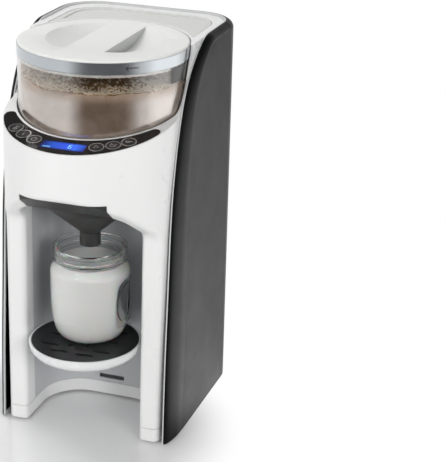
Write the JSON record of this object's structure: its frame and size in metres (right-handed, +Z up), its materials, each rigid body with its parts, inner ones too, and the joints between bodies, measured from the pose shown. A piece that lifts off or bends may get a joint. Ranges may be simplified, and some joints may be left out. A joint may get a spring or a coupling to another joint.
{
  "type": "baby formula maker",
  "caption": "Counter-top baby formula maker: open bottle bay with tray and funnel, lidded clear powder container above, sloped control panel, water tank at the back, dark wrap.",
  "frame": {"origin": "on the floor, at the centre of the machine's width and depth", "axes": "+Z up, -Y the front with the bottle bay, +X the right-hand side for someone who faces the machine"},
  "size_m": [0.183, 0.254, 0.381],
  "materials": {
    "white_shell": "smooth satin",
    "white_foot": "smooth satin",
    "dark_wrap": "fine matte",
    "bay_grey": "fine matte",
    "black_rubber": "matte",
    "screw_steel": "plain",
    "frame_plastic": "moulded",
    "seat_plastic": "moulded",
    "motor_can": "satin",
    "shaft_steel": "ground",
    "coupling_plastic": "moulded",
    "wheel_plastic": "moulded",
    "container_floor": "satin",
    "silicone_seal": "matte",
    "clear_container": "clear",
    "smoked_lug": "smoked clear",
    "milk_powder": "granular",
    "lid_white": "fine satin",
    "lid_silver": "polished",
    "funnel_grey": "fine matte",
    "clear_bottle": "clear",
    "milk": "liquid",
    "tray_white": "smooth satin",
    "grid_black": "satin",
    "clear_tank": "clear",
    "deck_grey": "fine satin",
    "heater_metal": "cast",
    "silicone_hose": "matte",
    "circuit_green": "satin",
    "inlet_black": "moulded",
    "panel_black": "high gloss",
    "display_blue": "backlit",
    "display_case": "moulded",
    "ring_silver": "polished",
    "button_dark": "gloss"
  },
  "bodies": {
    "housing": {"front_shell": "white_shell", "base_ring": "white_foot", "rubber_feet": "black_rubber", "housing_screws": "screw_steel", "right_side_panel": "dark_wrap", "left_side_panel": "dark_wrap", "rear_cover": "dark_wrap", "bay_liner": "bay_grey", "inner_frame": "frame_plastic", "container_seat": "seat_plastic", "powder_chute": "frame_plastic", "drive_motor": "motor_can", "tank_cradle": "black_rubber", "valve_socket": "seat_plastic", "water_pump": "motor_can", "pump_mounts": "black_rubber", "water_heater": "heater_metal", "heater_clamps": "screw_steel", "water_nozzle": "silicone_hose", "suction_hose": "silicone_hose", "pressure_hose": "silicone_hose", "outlet_hose": "silicone_hose", "power_board": "circuit_green", "power_inlet": "inlet_black", "control_panel": "panel_black", "control_board": "circuit_green", "display_window": "display_blue", "display_module": "display_case", "button_rings": "ring_silver"},
    "coupling": {"output_shaft": "shaft_steel", "drive_coupling": "coupling_plastic"},
    "container": {"container_base": "container_floor", "outlet_seal": "silicone_seal", "powder_container": "clear_container", "container_latches": "smoked_lug", "powder_fill": "milk_powder", "scraper": "wheel_plastic"},
    "stirrer": {"dosing_wheel": "wheel_plastic", "stirring_wheel": "wheel_plastic"},
    "lid": {"container_lid": "lid_white", "lid_band": "lid_silver", "lid_gasket": "silicone_seal"},
    "funnel": {"powder_funnel": "funnel_grey", "funnel_cover": "funnel_grey"},
    "tray": {"drip_tray": "tray_white", "tray_grid": "grid_black"},
    "filled_bottle": {"bottle": "clear_bottle", "milk": "milk"},
    "tank": {"water_tank": "clear_tank", "tank_valve": "silicone_seal"},
    "tank_cover": {"tank_lid": "deck_grey"},
    "cap_power": {"button_power": "button_dark"},
    "cap_info": {"button_info": "button_dark"},
    "cap_temperature": {"button_temperature": "button_dark"},
    "cap_start": {"button_start": "button_dark"},
    "cap_volume": {"button_volume": "button_dark"},
    "cap_powder": {"button_powder": "button_dark"}
  },
  "joints": [
    {"name": "coupling_spin", "type": "hinge", "parent": "housing", "child": "coupling", "pos_m": [0, -0.017, 0.295], "axis": [0, 0, 1], "continuous": true},
    {"name": "container_lift", "type": "slide", "parent": "housing", "child": "container", "axis": [0, 0, 1], "range_m": [0, 0.09]},
    {"name": "stirrer_spin", "type": "hinge", "parent": "container", "child": "stirrer", "pos_m": [0, -0.017, 0.305], "axis": [0, 0, 1], "continuous": true},
    {"name": "lid_lift", "type": "slide", "parent": "container", "child": "lid", "axis": [0, 0, 1], "range_m": [0, 0.06]},
    {"name": "funnel_slide", "type": "slide", "parent": "housing", "child": "funnel", "axis": [0, -1, 0], "range_m": [0, 0.075]},
    {"name": "tray_slide", "type": "slide", "parent": "housing", "child": "tray", "axis": [0, -1, 0], "range_m": [0, 0.07]},
    {"name": "bottle_slide", "type": "slide", "parent": "tray", "child": "filled_bottle", "axis": [0, -1, 0], "range_m": [0, 0.12]},
    {"name": "tank_lift", "type": "slide", "parent": "housing", "child": "tank", "axis": [0, 0, 1], "range_m": [0, 0.12]},
    {"name": "tank_lid_lift", "type": "slide", "parent": "tank", "child": "tank_cover", "axis": [0, 0, 1], "range_m": [0, 0.06]},
    {"name": "press_power", "type": "slide", "parent": "housing", "child": "cap_power", "axis": [0, 0.2148, -0.9767], "range_m": [0, 0.0007], "stiffness_N_per_m": 400},
    {"name": "press_info", "type": "slide", "parent": "housing", "child": "cap_info", "axis": [0, 0.2148, -0.9767], "range_m": [0, 0.0007], "stiffness_N_per_m": 400},
    {"name": "press_temperature", "type": "slide", "parent": "housing", "child": "cap_temperature", "axis": [0, 0.2148, -0.9767], "range_m": [0, 0.0007], "stiffness_N_per_m": 400},
    {"name": "press_start", "type": "slide", "parent": "housing", "child": "cap_start", "axis": [0, 0.2148, -0.9767], "range_m": [0, 0.0007], "stiffness_N_per_m": 400},
    {"name": "press_volume", "type": "slide", "parent": "housing", "child": "cap_volume", "axis": [0, 0.2148, -0.9767], "range_m": [0, 0.0007], "stiffness_N_per_m": 400},
    {"name": "press_powder", "type": "slide", "parent": "housing", "child": "cap_powder", "axis": [0, 0.2148, -0.9767], "range_m": [0, 0.0007], "stiffness_N_per_m": 400}
  ],
  "couplings": [
    {"joint": "coupling_spin", "follows": "stirrer_spin", "ratio": 1}
  ]
}
